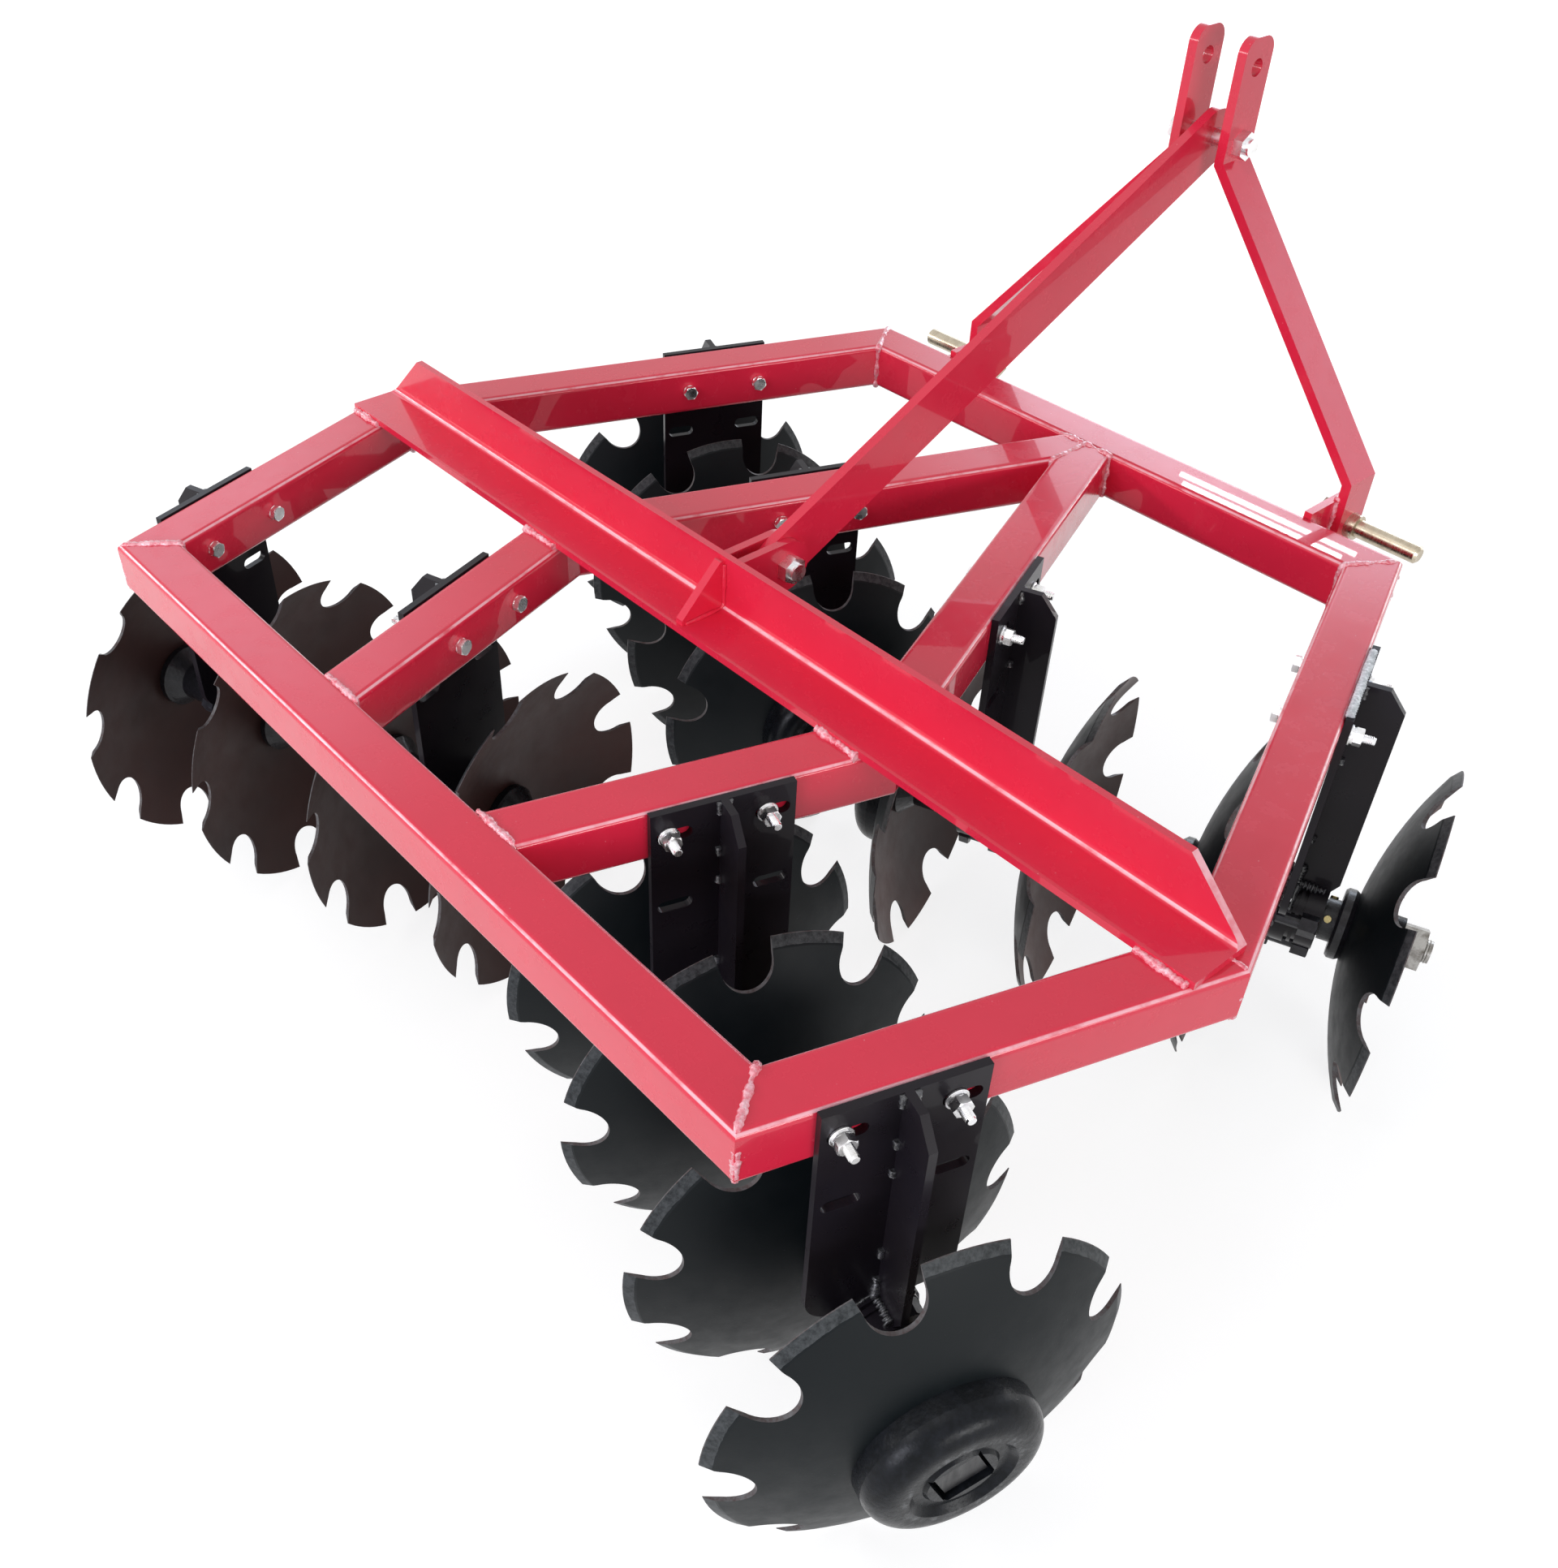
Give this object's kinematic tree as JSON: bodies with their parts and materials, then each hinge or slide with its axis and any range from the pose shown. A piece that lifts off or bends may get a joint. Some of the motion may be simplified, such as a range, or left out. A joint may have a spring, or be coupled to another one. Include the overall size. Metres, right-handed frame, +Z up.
{
  "type": "mounted disc harrow",
  "caption": "Tractor-mounted tandem disc harrow: a welded square-tube frame with a hitch mast carries gangs of notched dished discs set in an X, which roll on angled shafts.",
  "frame": {"origin": "on the ground under the middle of the machine's length and width, discs resting on the ground", "axes": "+X right seen from behind, +Y the way it is towed, +Z up"},
  "size_m": [1.5372, 1.3071, 0.982],
  "materials": {
    "red_paint": "glossy red enamel",
    "black_paint": "satin black paint",
    "disc_black": "thin satin black paint on disc steel",
    "cast_black": "black painted casting",
    "plain_steel": "oiled plain steel",
    "pin_steel": "turned steel",
    "zinc": "bright zinc plate"
  },
  "bodies": {
    "frame": {"angle_gusset": "red_paint", "brace_bolt": "zinc", "brace_lug_left": "red_paint", "brace_lug_right": "red_paint", "cross_angle": "red_paint", "front_beam": "red_paint", "front_inner_beam_left": "red_paint", "front_inner_beam_right": "red_paint", "front_left_inner_standard": "black_paint", "front_left_outer_standard": "black_paint", "front_right_inner_standard": "black_paint", "front_right_outer_standard": "black_paint", "front_side_beam_left": "red_paint", "front_side_beam_right": "red_paint", "hitch_pin_left": "pin_steel", "hitch_pin_right": "pin_steel", "hitch_plate_left": "red_paint", "hitch_plate_right": "red_paint", "mast_bolt": "zinc", "mast_brace": "red_paint", "mast_upright_left": "red_paint", "mast_upright_right": "red_paint", "rear_beam": "red_paint", "rear_inner_beam_left": "red_paint", "rear_inner_beam_right": "red_paint", "rear_left_inner_standard": "black_paint", "rear_left_outer_standard": "black_paint", "rear_right_inner_standard": "black_paint", "rear_right_outer_standard": "black_paint", "rear_side_beam_left": "red_paint", "rear_side_beam_right": "red_paint"},
    "front_left_gang": {"front_left_gang_discs": "disc_black", "front_left_gang_end_washers": "cast_black", "front_left_gang_shaft": "plain_steel", "front_left_gang_spools": "cast_black"},
    "front_right_gang": {"front_right_gang_discs": "disc_black", "front_right_gang_end_washers": "cast_black", "front_right_gang_shaft": "plain_steel", "front_right_gang_spools": "cast_black"},
    "rear_left_gang": {"rear_left_gang_discs": "disc_black", "rear_left_gang_end_washers": "cast_black", "rear_left_gang_shaft": "plain_steel", "rear_left_gang_spools": "cast_black"},
    "rear_right_gang": {"rear_right_gang_discs": "disc_black", "rear_right_gang_end_washers": "cast_black", "rear_right_gang_shaft": "plain_steel", "rear_right_gang_spools": "cast_black"}
  },
  "joints": [
    {"name": "rear_right_gang_spin", "type": "hinge", "parent": "frame", "child": "rear_right_gang", "pos_m": [0.42497, -0.37814, 0.203], "axis": [0.9511, -0.309, 0], "continuous": true},
    {"name": "rear_left_gang_spin", "type": "hinge", "parent": "frame", "child": "rear_left_gang", "pos_m": [-0.42497, -0.37814, 0.203], "axis": [-0.9511, -0.309, 0], "continuous": true},
    {"name": "front_right_gang_spin", "type": "hinge", "parent": "frame", "child": "front_right_gang", "pos_m": [0.35456, 0.24162, 0.203], "axis": [0.9272, 0.3746, 0], "continuous": true},
    {"name": "front_left_gang_spin", "type": "hinge", "parent": "frame", "child": "front_left_gang", "pos_m": [-0.35456, 0.24162, 0.203], "axis": [-0.9272, 0.3746, 0], "continuous": true}
  ]
}
